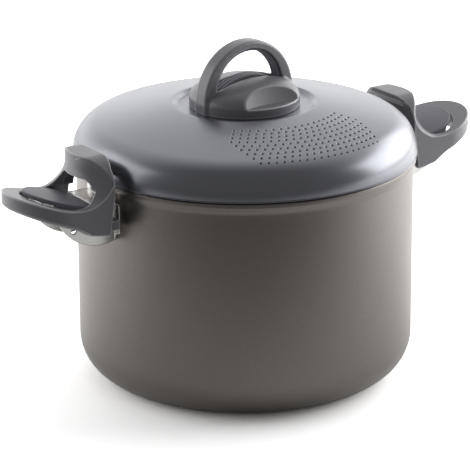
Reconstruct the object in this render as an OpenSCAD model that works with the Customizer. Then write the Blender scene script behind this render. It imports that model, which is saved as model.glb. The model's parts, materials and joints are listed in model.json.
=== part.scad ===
// Round pasta pot with a draining lid and two tilting handles that lock the lid.
// Millimetres. The pot stands on z = 0 with its axis on Z. The handles lie along X
// and the draining holes face -Y.

/* [Pot] */
// Outer diameter of the straight wall
pot_od = 245; // [241:1:260]
// Height of the pot from its base to its rim
pot_h = 165; // [150:1:200]
// Thickness of the wall
wall_t = 2.5; // [2:0.1:3]
// Thickness of the base
base_t = 5; // [4:0.5:7]
// Outer radius of the corner between wall and base
corner_r = 30; // [15:1:35]
// How far the rim stands out past the wall
rim_out = 2.1; // [1:0.1:2.5]

/* [Lid] */
// Thickness of the pressed lid
lid_t = 1.6; // [1.2:0.1:2]
// Largest radius of the lid
lid_r = 126; // [125:0.1:126.3]
// Radius of the crown's dome
crown_r = 405; // [380:1:440]
// Height of the crown's top above the rim, if it had no seat
crown_h = 41.6; // [40:0.1:43]
// Radius of the rounded shoulder
shoulder_r = 24; // [20:1:27]
// Radius of the knob's sunken seat
seat_r = 48; // [43:1:50]
// Height of the seat above the rim
seat_h = 35.5; // [34:0.1:36.5]

/* [Draining holes] */
// Diameter of a hole
hole_d = 1.8; // [1.2:0.1:2.2]
// Number of rows
hole_rows = 9; // [4:1:9]
// Radius of the innermost row
row_r0 = 68.5; // [62:0.5:70]
// Distance from row to row
row_pitch = 5.4; // [4.5:0.1:5.5]
// Distance from hole to hole along a row
hole_pitch = 5.45; // [4.5:0.05:7]
// Half of the angle that the inner rows cover
row_half = 37.5; // [20:0.5:45]
// How much that half angle falls in each outer row
row_taper = 2.4; // [0:0.1:3]
// Turn of the whole fan away from -Y
fan_turn = -3; // [-8:1:8]

/* [Knob] */
// Radius of the knob's round base
knob_r = 40; // [36:0.5:42]
// Height of the base's upright band
knob_band_h = 6.5; // [5:0.5:8]
// Height of the dome over the band
knob_dome_h = 15; // [10:0.5:17]
// Outer radius of the arch
arch_r = 41; // [39:0.5:42]
// Thickness of the arch's legs
arch_t = 10; // [8:0.5:11]
// How much thinner the arch is at its top
arch_thinning = 4.5; // [2:0.5:5]
// Width of the arch
arch_w = 13; // [11:0.5:15]
// Turn of the knob on the lid
knob_turn = 5; // [-8:1:8]

/* [Handles] */
// Distance from the pot's axis to a handle's tip
handle_reach = 196; // [190:1:200]
// Half of a handle's width
handle_hw = 33; // [31:0.5:35]
// Height of the hood's top above the rim
hood_h = 24.3; // [23:0.1:26]
// Radius of the lip that hooks over the lid
lip_r = 127.5; // [127.4:0.1:129]
// Radius of the handle's pivot from the pot's axis
pivot_x = 146; // [144:0.5:148]
// Depth of the pivot below the rim
pivot_drop = 17; // [16:0.5:18]
// Diameter of the pivot pin
pin_d = 5; // [4:0.5:5]

/* [Hidden] */

$fn = 96;
eps = 0.02;
run_gap = 0.05;                     // radial clearance of the pivot pin in its bushes

anodised = "#55504d";
lid_grey = "#74777f";
plastic = "#4a4a4e";
pad_grey = "#55555c";
steel = "#c9c9c6";
brass = "#b58a3e";
nylon = "#e8e6de";

// Pot
pot_r = pot_od / 2;
bore_r = pot_r - wall_t;
rim_r = pot_r + rim_out;
rim_h = 4;                          // height of the rim's outward roll
corner_steps = 12;

// Lid, heights counted from the pot's base
lid_seat_z = pot_h + seat_h;
crown_z = pot_h + crown_h;
bulge_z = crown_z - crown_r + sqrt(pow(crown_r - shoulder_r, 2) - pow(lid_r - shoulder_r, 2));
shoulder_top = atan2(bulge_z - (crown_z - crown_r), lid_r - shoulder_r);
seat_edge_r = seat_r + 4;
skirt_r = bore_r - 0.6;             // the skirt drops into the pot's mouth
skirt_drop = 8;
bead_r = 123.9;
lid_gap = 0.1;                      // the lid rests on the rim
screw_r = 2.5;

// Knob
arch_z = lid_seat_z + 7;            // centre of the arch's circle
window_r = arch_r - arch_t;
window_z = arch_z + arch_thinning;  // centre of the window's circle
channel_r = 44.2;                   // the channel's floor under the arch is an arc of this radius
channel_z = lid_seat_z + knob_band_h + knob_dome_h - 0.5 - channel_r;
channel_hw = 7;
liner_hw = 4.5;
liner_t = 2;
insert_r = 4.5;
insert_h = 12;

// Handles, built for the +X side with z counted from the rim
tip_z = 2.5;
tip_wall_h = 10;
plat_x = 157;                       // the grip's slope ends here
plat_z = -9.3;
heel_x = 136.5;
heel_z = -30.5;
inner_r = 130;                      // the handle's face towards the pot
lip_z = 19.5;                       // the lip's underside
hood_arc_r = 43.5;                  // plan radius of the hood's outer face
hood_arc_x = 101.5;
hood_fillet = 9;
hood_end_r = 20;                    // rounding of the hood's upper ends
arch_window_r = 30.8;
arch_window_z = -24.3;
cavity_hw = 28;
opening_r = 28;
opening_x = 156.7;
opening_top = 2;                    // the ring's opening ends at this height, below the hood's arch
boss_y = 25.2;                      // inner face of a boss, just outside the pad
heel_x0 = 126;
heel_y = 24.5;
heel_hw = 4;
pad_r = 25.6;
pad_x = 156.2;
pad_hw = 24.6;
pad_in_x = 140;
pad_in_z = -9.5;
pad_slope = 16;
pad_t = 3.6;
sheet_t = 1.6;                      // thickness of the bracket's steel
plate_hw = 32.5;
cheek_y = 17;                       // inner face of a cheek
cheek_r = 38;
cheek_x = 134;
cheek_z = -2.2;
web_z = -10;
tongue_hw = 11;
bush_r = 4;
flange_r = 5;
boss_r = 6.5;
lug_hole = [156.5, -26];
pad_screw_x = [150, 166];
rivet_spots = [[-9, -18], [9, -18], [0, -31]];

function arc(cx, cz, r, a0, a1, n) = [for (i = [0:n]) let (a = a0 + (a1 - a0) * i / n)
    [cx + r * cos(a), cz + r * sin(a)]];

// ---- pot and lid ---------------------------------------------------------

module pot_shell() {
    inner_corner = corner_r - wall_t;
    profile = concat(
        [[0, 0]],
        arc(pot_r - corner_r, corner_r, corner_r, -90, 0, corner_steps),
        [[pot_r, pot_h - rim_h - 2], [rim_r, pot_h - rim_h + 1], [rim_r, pot_h - 0.6], [rim_r - 0.6, pot_h],
         [bore_r + 0.6, pot_h], [bore_r, pot_h - 0.8]],
        arc(bore_r - inner_corner, base_t + inner_corner, inner_corner, 0, -90, corner_steps),
        [[0, base_t]]);
    color(anodised) difference() {
        rotate_extrude($fn = 180) polygon(profile);
        for (side = [0, 180], spot = rivet_spots) rotate([0, 0, side])
            translate([pot_r, spot[0], pot_h + spot[1]]) rotate([0, 90, 0])
                cylinder(h = 20, r = screw_r, center = true, $fn = 32);
    }
}

// Outer line of the lid from its middle to its bead, moved in by d along its normal
function lid_line(d) = concat(
    [[0, lid_seat_z - d], [seat_r, lid_seat_z - d]],
    arc(0, crown_z - crown_r, crown_r - d, 90 - asin(seat_edge_r / crown_r), shoulder_top, 14),
    arc(lid_r - shoulder_r, bulge_z, shoulder_r - d, shoulder_top - 8, 0, 10));

function row_angle(k) = row_half - row_taper * max(0, k - 3);
function row_radius(k) = row_r0 + row_pitch * k;
function row_count(k) = round(2 * row_angle(k) * PI / 180 * row_radius(k) / hole_pitch);

module lid_shell() {
    bottom = pot_h + lid_gap;
    outside = concat(lid_line(0), [[lid_r - 0.6, bulge_z - 2], [bead_r - 0.6, bottom + 1.6],
        [bead_r, bottom + 0.9], [bead_r - 0.6, bottom]]);
    underside = [[skirt_r, bottom], [skirt_r, bottom - skirt_drop],
        [skirt_r - lid_t, bottom - skirt_drop], [skirt_r - lid_t, bottom + lid_t],
        [lid_r - 3.4, bottom + lid_t + 0.6]];
    inside = lid_line(lid_t);
    color(lid_grey) difference() {
        rotate_extrude($fn = 180)
            polygon(concat(outside, underside, [for (i = [len(inside) - 1:-1:0]) inside[i]]));
        translate([0, 0, lid_seat_z - 5]) cylinder(h = 10, r = screw_r + 0.2, $fn = 32);
        for (k = [0:hole_rows - 1]) let (n = row_count(k), r = row_radius(k))
            for (i = [0:n]) rotate([0, 0, fan_turn - 90 + row_angle(k) * (2 * i / n - 1)])
                translate([r, 0, crown_z - crown_r + sqrt(crown_r * crown_r - r * r)])
                    rotate([0, asin(r / crown_r), 0])
                        cylinder(h = 6, d = hole_d, center = true, $fn = 16);
    }
}

// ---- knob ----------------------------------------------------------------

// A ring about the Y axis at height z, cut out of a 2D section by [radius, y]
module arch_ring(z, r_in, r_out, hw) {
    translate([0, 0, z]) rotate([90, 0, 0])
        rotate_extrude($fn = 120) translate([r_in, -hw]) square([r_out - r_in, 2 * hw]);
}

// The round window under the arch
module window_cut(r) {
    translate([0, 0, window_z]) rotate([90, 0, 0]) cylinder(h = 40, r = r, center = true);
}

module knob() {
    band_z = lid_seat_z + knob_band_h;
    dome = [for (i = [0:12]) let (a = 90 * i / 12)
        [knob_r * cos(a), band_z + knob_dome_h * sin(a)]];
    bevel = 2.2;
    disc = [[0, -arch_w / 2], [arch_r - bevel, -arch_w / 2], [arch_r, -arch_w / 2 + bevel],
        [arch_r, arch_w / 2 - bevel], [arch_r - bevel, arch_w / 2], [0, arch_w / 2]];
    color(plastic) rotate([0, 0, knob_turn]) difference() {
        union() {
            rotate_extrude() polygon(concat([[0, lid_seat_z], [knob_r, lid_seat_z]], dome));
            difference() {
                translate([0, 0, arch_z]) rotate([90, 0, 0]) rotate_extrude($fn = 120) polygon(disc);
                translate([-60, -60, lid_seat_z - 80]) cube([120, 120, 80]);
                window_cut(window_r);
            }
        }
        // channel over the dome's top, between the feet of the arch
        intersection() {
            arch_ring(channel_z, channel_r, channel_r + 20, channel_hw);
            window_cut(window_r);
        }
        // thumb scoops
        for (side = [-1, 1]) intersection() {
            translate([0, side * 60, lid_seat_z + 25.5]) sphere(r = 34.9);
            translate([-50, -60, band_z + 0.5]) cube([100, 120, 40]);
        }
        translate([0, 0, lid_seat_z - 1]) cylinder(h = insert_h + 1, r = insert_r, $fn = 48);
    }
}

module knob_liner() {
    foot_z = channel_z + sqrt(pow(channel_r, 2) - pow(window_r - liner_t, 2)) + liner_t;
    color(pad_grey) rotate([0, 0, knob_turn]) union() {
        intersection() {
            arch_ring(window_z, window_r - liner_t, window_r, liner_hw);
            translate([-40, -10, foot_z - 1]) cube([80, 20, 60]);
        }
        intersection() {
            arch_ring(channel_z, channel_r, channel_r + liner_t, liner_hw);
            window_cut(window_r);
        }
    }
}

module knob_insert() {
    color(brass) translate([0, 0, lid_seat_z]) difference() {
        cylinder(h = insert_h, r = insert_r, $fn = 48);
        translate([0, 0, -1]) cylinder(h = insert_h, r = screw_r, $fn = 32);
    }
}

module knob_washer() {
    washer_r = 10;
    color(steel) translate([0, 0, lid_seat_z - lid_t - 1.2]) difference() {
        cylinder(h = 1.2, r = washer_r, $fn = 48);
        translate([0, 0, -1]) cylinder(h = 4, r = screw_r + 0.2, $fn = 32);
    }
}

module knob_screw() {
    head_h = 3;
    color(steel) translate([0, 0, lid_seat_z - lid_t - 1.2 - head_h]) difference() {
        union() {
            cylinder(h = head_h, r1 = 3.6, r2 = 4.8, $fn = 48);
            cylinder(h = head_h + lid_t + 1.2 + insert_h - 2, r = screw_r, $fn = 32);
        }
        for (turn = [0, 90]) rotate([0, 0, turn]) translate([-2.6, -0.5, -1]) cube([5.2, 1, 2.4]);
    }
}

// ---- one side's handle set, for the +X side ------------------------------

// A 2D side view in [x, z] made a plate between y0 and y1
module side_plate(y0, y1) {
    translate([0, y1, pot_h]) rotate([90, 0, 0]) linear_extrude(height = y1 - y0) children();
}

module at_pivot(y) {
    translate([pivot_x, y, pot_h - pivot_drop]) rotate([-90, 0, 0]) children();
}

module bracket() {
    tongue_x = 177;
    slope = tan(pad_slope);
    under_z = pad_in_z - pad_t / cos(pad_slope);
    tongue = [[pot_r + 1, web_z], [pad_in_x - 0.5, web_z], [pad_in_x - 0.5, under_z - slope * 0.5],
        [tongue_x, under_z + slope * (tongue_x - pad_in_x)],
        [tongue_x, under_z + slope * (tongue_x - pad_in_x) - sheet_t],
        [pad_in_x, under_z - sheet_t], [pad_in_x - 2.1, under_z - sheet_t],
        [pad_in_x - 2.1, web_z - sheet_t], [pot_r + 1, web_z - sheet_t]];
    color(steel) difference() {
        union() {
            // back plate, bent to the pot's wall
            intersection() {
                rotate_extrude($fn = 180) translate([pot_r, pot_h - 45]) square([sheet_t, 40]);
                plate_front();
            }
            side_plate(-tongue_hw, tongue_hw) polygon(tongue);
            side_plate(-cheek_y - sheet_t, cheek_y + sheet_t)
                polygon([[pot_r + 1, web_z], [pad_in_x - 0.5, web_z],
                    [pad_in_x - 0.5, web_z - sheet_t], [pot_r + 1, web_z - sheet_t]]);
            for (y = [-cheek_y - sheet_t, cheek_y]) side_plate(y, y + sheet_t) intersection() {
                translate([cheek_x, cheek_z]) circle(r = cheek_r);
                polygon([[pot_r + 1, web_z], [pad_in_x - 0.5, web_z],
                    [pad_in_x - 0.5, under_z - 0.4], [168, under_z - 0.4 + slope * 28],
                    [168, -50], [pot_r + 1.2, -50]]);
            }
        }
        at_pivot(-cheek_y - 5) cylinder(h = 2 * cheek_y + 10, r = bush_r, $fn = 48);
        translate([lug_hole[0], 0, pot_h + lug_hole[1]]) rotate([90, 0, 0])
            cylinder(h = 60, d = 4, center = true, $fn = 32);
        for (x = pad_screw_x) pad_screw_at(x) cylinder(h = 12, r = 1.75, center = true, $fn = 24);
        for (spot = rivet_spots) translate([pot_r, spot[0], pot_h + spot[1]]) rotate([0, 90, 0])
            cylinder(h = 20, r = screw_r, center = true, $fn = 32);
    }
}

// Front view of the back plate: wide at the top, narrow where the cheeks run down
module plate_front() {
    translate([0, 0, pot_h]) rotate([90, 0, 90]) linear_extrude(height = 200)
        polygon([[-plate_hw, -12], [-plate_hw, -33], [-plate_hw + 1, -34], [-cheek_y - 3, -34],
            [-cheek_y - 3, -38], [-cheek_y, -39.5], [cheek_y, -39.5], [cheek_y + 3, -38],
            [cheek_y + 3, -34], [plate_hw - 1, -34], [plate_hw, -33], [plate_hw, -12],
            [cheek_y + 6, -12], [cheek_y + 3, -9], [-cheek_y - 3, -9], [-cheek_y - 6, -12]]);
}

module rivets() {
    color(steel) for (spot = rivet_spots) {
        x_out = sqrt(pow(pot_r + sheet_t, 2) - pow(spot[0], 2));
        x_in = sqrt(pow(bore_r, 2) - pow(spot[0], 2));
        translate([0, spot[0], pot_h + spot[1]]) rotate([0, 90, 0]) {
            translate([0, 0, x_in - 1]) cylinder(h = x_out - x_in + 1.5, r = screw_r, $fn = 32);
            translate([0, 0, x_in - 1.4]) cylinder(h = 1.4 - eps, r1 = 4, r2 = 5, $fn = 32);
            translate([0, 0, x_out + eps]) cylinder(h = 1.8, r1 = 4.5, r2 = 3, $fn = 32);
        }
    }
}

module handle_outline() {
    union() {
        translate([handle_reach - handle_hw, 0]) circle(r = handle_hw);
        translate([110, -handle_hw]) square([handle_reach - handle_hw - 110, 2 * handle_hw]);
    }
}

// Grip and hood seen from the side, as [x, z]
module grip_side() {
    polygon([[110, heel_z], [heel_x, heel_z], [handle_reach, tip_z - tip_wall_h],
        [handle_reach + 1, tip_z], [handle_reach, tip_z], [plat_x, plat_z], [110, plat_z]]);
}

module hood() {
    front = concat([[0, plat_z - 4], [hood_arc_r + hood_fillet, plat_z - 4]],
        arc(hood_arc_r + hood_fillet, plat_z + hood_fillet, hood_fillet, 270, 180, 6),
        [[hood_arc_r, hood_h - 1.5], [hood_arc_r - 1.5, hood_h], [0, hood_h]]);
    intersection() {
        translate([hood_arc_x, 0, pot_h]) rotate_extrude() polygon(front);
        translate([0, 0, pot_h]) rotate([90, 0, 90]) linear_extrude(height = 200) union() {
            translate([-handle_hw, plat_z - 4]) square([2 * handle_hw, hood_h - hood_end_r - plat_z + 4]);
            translate([-handle_hw + hood_end_r, hood_h - hood_end_r - 1])
                square([2 * (handle_hw - hood_end_r), hood_end_r + 1]);
            for (side = [-1, 1]) translate([side * (handle_hw - hood_end_r), hood_h - hood_end_r])
                circle(r = hood_end_r);
        }
        translate([0, 0, pot_h - 40]) linear_extrude(height = 80) handle_outline();
    }
}

module handle() {
    color(plastic) difference() {
        union() {
            difference() {
                union() {
                    intersection() {
                        side_plate(-handle_hw, handle_hw) grip_side();
                        translate([0, 0, pot_h - 40]) linear_extrude(height = 80) handle_outline();
                    }
                    hood();
                }
                // hollow between the side walls, arched over at the hood
                translate([110, 0, pot_h + arch_window_z]) rotate([0, 90, 0]) intersection() {
                    cylinder(h = opening_x - 110, r = arch_window_r);
                    translate([-50, -cavity_hw, 0]) cube([90, 2 * cavity_hw, 60]);
                }
                translate([110, -cavity_hw, pot_h - 45])
                    cube([opening_x - 110, 2 * cavity_hw, 45 + plat_z - 4]);
                translate([opening_x, 0, pot_h - 45]) cylinder(h = 45 + opening_top, r = opening_r);
            }
            // bosses round the pivot, outside the pad, and heels that meet the back plate at rest
            for (side = [-1, 1]) {
                at_pivot(side > 0 ? boss_y : -cavity_hw - 1)
                    cylinder(h = cavity_hw + 1 - boss_y, r = boss_r, $fn = 48);
                translate([heel_x0, side * heel_y - heel_hw, pot_h - 28]) cube([14, 2 * heel_hw, 7]);
            }
        }
        // clearance round the pot and the lid, with the lip above it
        translate([0, 0, pot_h]) rotate_extrude($fn = 180)
            polygon([[0, -50], [inner_r, -50], [inner_r, -29], [pot_r + sheet_t + 0.3, -29],
                [pot_r + sheet_t + 0.3, -20], [inner_r, -20], [inner_r, lip_z - 2.5], [lip_r, lip_z],
                [lip_r, 40], [0, 40]]);
        at_pivot(-handle_hw + 4) cylinder(h = 2 * handle_hw, d = pin_d, $fn = 48);
        at_pivot(handle_hw - 3) cylinder(h = 10, r = bush_r + 0.5, $fn = 48);
    }
}

// Plan of the pad: a round end and a straight inner edge
module pad_plan() {
    union() {
        translate([pad_x, 0]) circle(r = pad_r);
        translate([pad_in_x, -pad_hw]) square([pad_x - pad_in_x, 2 * pad_hw]);
    }
}

module pad() {
    x_out = pad_x + pad_r;
    out_z = pad_in_z + tan(pad_slope) * (x_out - pad_in_x);
    depth = pad_t / cos(pad_slope);
    color(pad_grey) difference() {
        intersection() {
            translate([0, 0, pot_h - 40]) linear_extrude(height = 80) pad_plan();
            side_plate(-40, 40) polygon([[pad_in_x, pad_in_z - depth], [x_out, out_z - depth],
                [x_out + 1, out_z - 0.8], [x_out - 2, out_z], [pad_in_x + 1, pad_in_z],
                [pad_in_x, pad_in_z - 0.8]]);
        }
        for (x = pad_screw_x) pad_screw_at(x) translate([0, 0, -0.5]) cylinder(h = 3, r = 1.5, $fn = 24);
    }
}

// A point on the pad's underside, turned to the pad's slope
module pad_screw_at(x) {
    translate([x, 0, pot_h + pad_in_z - pad_t / cos(pad_slope) + tan(pad_slope) * (x - pad_in_x)])
        rotate([0, -pad_slope, 0]) children();
}

module pad_screws() {
    color(steel) for (x = pad_screw_x) pad_screw_at(x) {
        translate([0, 0, -sheet_t - 0.5]) cylinder(h = sheet_t + 2.9, r = 1.5, $fn = 24);
        translate([0, 0, -sheet_t - 2.2]) cylinder(h = 2, r1 = 2.2, r2 = 3, $fn = 32);
    }
}

module pivot_pin() {
    color(steel) at_pivot(-handle_hw + 4) cylinder(h = 2 * handle_hw - 7.2, r = pin_d / 2, $fn = 48);
}

module pin_bushes() {
    color(nylon) for (side = [-1, 1]) {
        difference() {
            union() {
                at_pivot(side > 0 ? cheek_y - 1 : -cheek_y - sheet_t)
                    cylinder(h = sheet_t + 1, r = bush_r, $fn = 48);
                at_pivot(side > 0 ? cheek_y - 1 : -cheek_y) cylinder(h = 1, r = flange_r, $fn = 48);
            }
            at_pivot(-cheek_y - 5) cylinder(h = 2 * cheek_y + 10, r = pin_d / 2 + run_gap, $fn = 48);
        }
    }
}

module pin_cap() {
    color(plastic) at_pivot(handle_hw - 3) cylinder(h = 3, r = bush_r + 0.5, $fn = 48);
}

module left() {
    mirror([1, 0, 0]) children();
}

pot_shell();
lid_shell();
knob();
knob_liner();
knob_insert();
knob_washer();
knob_screw();
left() bracket();  // left_bracket
left() rivets();  // left_rivets
left() handle();  // left_handle
left() pad();  // left_pad
left() pad_screws();  // left_pad_screws
left() pivot_pin();  // left_pivot_pin
left() pin_bushes();  // left_pin_bushes
left() pin_cap();  // left_pin_cap
bracket();  // right_bracket
rivets();  // right_rivets
handle();  // right_handle
pad();  // right_pad
pad_screws();  // right_pad_screws
pivot_pin();  // right_pivot_pin
pin_bushes();  // right_pin_bushes
pin_cap();  // right_pin_cap
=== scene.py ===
import json
import math

import bmesh
import bpy
import numpy as np
from mathutils import Matrix, Vector


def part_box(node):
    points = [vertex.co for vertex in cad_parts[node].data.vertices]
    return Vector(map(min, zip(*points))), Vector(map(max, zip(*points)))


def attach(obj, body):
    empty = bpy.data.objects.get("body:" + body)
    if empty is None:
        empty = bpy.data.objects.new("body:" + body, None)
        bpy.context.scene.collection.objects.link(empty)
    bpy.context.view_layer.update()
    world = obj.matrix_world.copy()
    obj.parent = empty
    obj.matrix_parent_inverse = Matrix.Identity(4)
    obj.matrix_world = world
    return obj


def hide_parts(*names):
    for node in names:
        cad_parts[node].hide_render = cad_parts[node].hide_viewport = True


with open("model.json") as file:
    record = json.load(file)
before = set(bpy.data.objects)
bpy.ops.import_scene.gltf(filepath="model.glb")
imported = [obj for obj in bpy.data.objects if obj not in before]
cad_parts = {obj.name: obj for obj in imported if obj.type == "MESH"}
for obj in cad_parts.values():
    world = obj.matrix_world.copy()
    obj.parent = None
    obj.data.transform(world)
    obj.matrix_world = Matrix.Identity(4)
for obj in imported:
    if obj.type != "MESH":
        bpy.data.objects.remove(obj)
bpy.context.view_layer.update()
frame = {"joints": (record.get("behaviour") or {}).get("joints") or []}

MM = 0.001

# ==== View, floor and light =================================================
# The pot is seen through a long lens from a little above, on a white floor that
# runs out into a white room. A large soft light stands behind on the right and a
# weak one on the left, and the room in front is dark.

LOOK_TURN = -34.0
LOOK_DOWN = 18.94
LOOK_ROLL = -0.3
LENS_TO_PIECE = Vector((-0.00746, 0.01976, 2.07))
LENS = 215.29
AIM_HEIGHT = 0.0796
SENSOR_WIDTH = 36

look = (Matrix.Rotation(math.radians(LOOK_TURN), 3, "Z")
        @ Matrix.Rotation(math.radians(90 - LOOK_DOWN), 3, "X")
        @ Matrix.Rotation(math.radians(LOOK_ROLL), 3, "Z"))
camera = bpy.data.objects.new("camera", bpy.data.cameras.new("camera"))
camera.data.lens = LENS
camera.data.sensor_width = SENSOR_WIDTH
camera.data.clip_start = 0.05
camera.data.clip_end = 50
lens_place = Vector((0, 0, AIM_HEIGHT)) + look @ LENS_TO_PIECE
camera.matrix_world = Matrix.Translation(lens_place) @ look.to_4x4()
bpy.context.scene.collection.objects.link(camera)
bpy.context.scene.camera = camera
bpy.context.scene.view_settings.view_transform = "Standard"

# Directions in the room, as the camera stands: away from it, and to its right
away = Matrix.Rotation(math.radians(LOOK_TURN), 3, "Z") @ Vector((0, 1, 0))
right = Matrix.Rotation(math.radians(LOOK_TURN), 3, "Z") @ Vector((1, 0, 0))


def hex_colour(code):
    """An sRGB hex colour as linear red, green, blue and alpha."""
    parts = [int(code[i:i + 2], 16) / 255 for i in (1, 3, 5)]
    linear = [c / 12.92 if c <= 0.04045 else ((c + 0.055) / 1.055) ** 2.4 for c in parts]
    return (*linear, 1.0)


def add(tree, kind, inputs=None, **settings):
    """Adds a node to a tree, makes its settings, and sets or links its sockets."""
    made = tree.nodes.new(kind)
    for name, value in settings.items():
        setattr(made, name, value)
    for socket, value in (inputs or {}).items():
        if isinstance(value, bpy.types.NodeSocket):
            tree.links.new(value, made.inputs[socket])
        else:
            made.inputs[socket].default_value = value
    return made


LIT_POINT = Vector((0, 0, 0.12))


def soft_light(name, place, size, watts):
    """A rectangular soft light that faces the middle of the pot."""
    lamp = bpy.data.objects.new(name, bpy.data.lights.new(name, "AREA"))
    lamp.data.shape = "RECTANGLE"
    lamp.data.size, lamp.data.size_y = size
    lamp.data.energy = watts
    lamp.location = place
    lamp.rotation_euler = (LIT_POINT - place).to_track_quat("-Z", "Y").to_euler()
    lamp.visible_camera = False
    bpy.context.scene.collection.objects.link(lamp)


soft_light("key_light", right * 1.3 + away * 0.7 + Vector((0, 0, 0.62)), (1.7, 1.0), 15)
soft_light("fill_light", right * -1.7 + away * 0.2 + Vector((0, 0, 0.7)), (1.6, 1.4), 8)

# The room glows behind the piece, less towards the ceiling, and hardly at all in
# front. Seen directly it is white all round.
ROOM_GLOW = 1.5
CEILING_SHARE = 0.45
ROOM_DARK = 0.18
ROOM_SEEN = 1.1

room = bpy.data.worlds.new("white_room")
room.use_nodes = True
bpy.context.scene.world = room
tree = room.node_tree
tree.nodes.clear()
toward = add(tree, "ShaderNodeTexCoord").outputs["Generated"]
behind = add(tree, "ShaderNodeVectorMath", {0: toward, 1: away},
             operation="DOT_PRODUCT").outputs["Value"]
height = add(tree, "ShaderNodeSeparateXYZ", {0: toward}).outputs["Z"]
behind = add(tree, "ShaderNodeMapRange", {0: behind, 1: -0.3, 2: 0.75, 3: 0.0, 4: ROOM_GLOW},
             interpolation_type="SMOOTHSTEP").outputs[0]
height = add(tree, "ShaderNodeMapRange", {0: height, 1: 0.1, 2: 0.6, 3: 1.0, 4: CEILING_SHARE},
             interpolation_type="SMOOTHSTEP").outputs[0]
glow = add(tree, "ShaderNodeMath", {0: behind, 1: height, 2: ROOM_DARK},
           operation="MULTIPLY_ADD").outputs[0]
seen = add(tree, "ShaderNodeLightPath").outputs["Is Camera Ray"]
glow = add(tree, "ShaderNodeMix", {0: seen, 2: glow, 3: ROOM_SEEN}).outputs[0]
sky = add(tree, "ShaderNodeBackground", {0: hex_colour("#ffffff"), 1: glow})
add(tree, "ShaderNodeOutputWorld", {0: sky.outputs[0]})

# White paper. Its tone in the metal's reflections is painted: a painted shade towards the
# front, where the room is dark, and a little paler out at the sides. Seen directly it is white.
FLOOR_HALF = 5
FLOOR_FRONT, FLOOR_BACK = 0.25, 2.0
FLOOR_SIDES = 0.1
FLOOR_SEEN = 2.5

floor_mesh = bpy.data.meshes.new("floor")
floor_mesh.from_pydata([(x * FLOOR_HALF, y * FLOOR_HALF, 0)
                        for x, y in ((-1, -1), (1, -1), (1, 1), (-1, 1))], [], [(0, 1, 2, 3)])
floor = bpy.data.objects.new("floor", floor_mesh)
bpy.context.scene.collection.objects.link(floor)
white_paper = bpy.data.materials.new("white_paper")
white_paper.use_nodes = True
tree = white_paper.node_tree
tree.nodes.clear()
at = add(tree, "ShaderNodeTexCoord").outputs["Object"]
depth = add(tree, "ShaderNodeVectorMath", {0: at, 1: away},
            operation="DOT_PRODUCT").outputs["Value"]
aside = add(tree, "ShaderNodeVectorMath", {0: at, 1: right},
            operation="DOT_PRODUCT").outputs["Value"]
aside = add(tree, "ShaderNodeMath", {0: aside}, operation="ABSOLUTE").outputs[0]
depth = add(tree, "ShaderNodeMath", {0: aside, 1: FLOOR_SIDES, 2: depth},
            operation="MULTIPLY_ADD").outputs[0]
# Painted shade: for reflections the paper's tone darkens towards the front and pales at the sides
tone = add(tree, "ShaderNodeMapRange",
           {0: depth, 1: -0.5, 2: 0.25, 3: FLOOR_FRONT, 4: FLOOR_BACK}).outputs[0]
seen = add(tree, "ShaderNodeLightPath").outputs["Is Camera Ray"]
tone = add(tree, "ShaderNodeMix", {0: seen, 2: tone, 3: FLOOR_SEEN}).outputs[0]
tone = add(tree, "ShaderNodeCombineColor", {0: tone, 1: tone, 2: tone}).outputs[0]
paper = add(tree, "ShaderNodeBsdfDiffuse", {"Color": tone})
add(tree, "ShaderNodeOutputMaterial", {0: paper.outputs[0]})
floor.data.materials.append(white_paper)

# ==== Pot ===================================================================
# Deep-drawn aluminium with a thick base, turned on the outside and hard anodised
# to a warm dark grey. The rim rolls outwards and carries the lid.

pot_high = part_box("pot_shell")[1] / MM
RIM = pot_high.z
RIM_R = pot_high.x
RIM_ROLL = 2.1
POT_R = RIM_R - RIM_ROLL
WALL = 2.5
BASE = 5.0
CORNER_R = 30.0
BASE_RINGS = 22
FIRST_RING = 18
RING_PITCH = 3.0
RING_DEPTH = 0.35


def filleted(corners, closed=True, longest=5.0):
    """An outline with rounded corners from (radius, height, fillet) in mm.
    Its long edges are split."""
    points = [Vector(c[:2]) for c in corners]
    line = []
    for i, corner in enumerate(corners):
        here = points[i]
        if corner[2] == 0 or (not closed and i in (0, len(points) - 1)):
            line.append(here)
            continue
        come = (here - points[i - 1]).normalized()
        go = (points[(i + 1) % len(points)] - here).normalized()
        turn = come.angle_signed(go)
        setback = corner[2] * math.tan(abs(turn) / 2)
        start = here - come * setback
        centre = start + Vector((-come.y, come.x)) * corner[2] * (-1 if turn > 0 else 1)
        steps = max(3, math.ceil(abs(math.degrees(turn)) / 7))
        for k in range(steps + 1):
            line.append(centre + Matrix.Rotation(-turn * k / steps, 2) @ (start - centre))
    split = []
    pairs = zip(line, line[1:] + line[:1]) if closed else zip(line, line[1:])
    for one, two in pairs:
        parts = max(1, math.ceil((two - one).length / longest))
        split += [one.lerp(two, k / parts) for k in range(parts)]
    return split if closed else split + [line[-1]]


def solid(name, points, faces, material):
    """A closed mesh from points in millimetres, with its faces outward and shaded smooth."""
    mesh = bpy.data.meshes.new(name)
    mesh.from_pydata([tuple(p) for p in points], [], faces)
    work = bmesh.new()
    work.from_mesh(mesh)
    bmesh.ops.remove_doubles(work, verts=work.verts, dist=1e-4)
    bmesh.ops.scale(work, vec=(MM, MM, MM), verts=work.verts)
    bmesh.ops.recalc_face_normals(work, faces=work.faces)
    work.to_mesh(mesh)
    work.free()
    mesh.shade_smooth()
    mesh.materials.append(material)
    piece = bpy.data.objects.new(name, mesh)
    bpy.context.scene.collection.objects.link(piece)
    return piece


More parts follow.
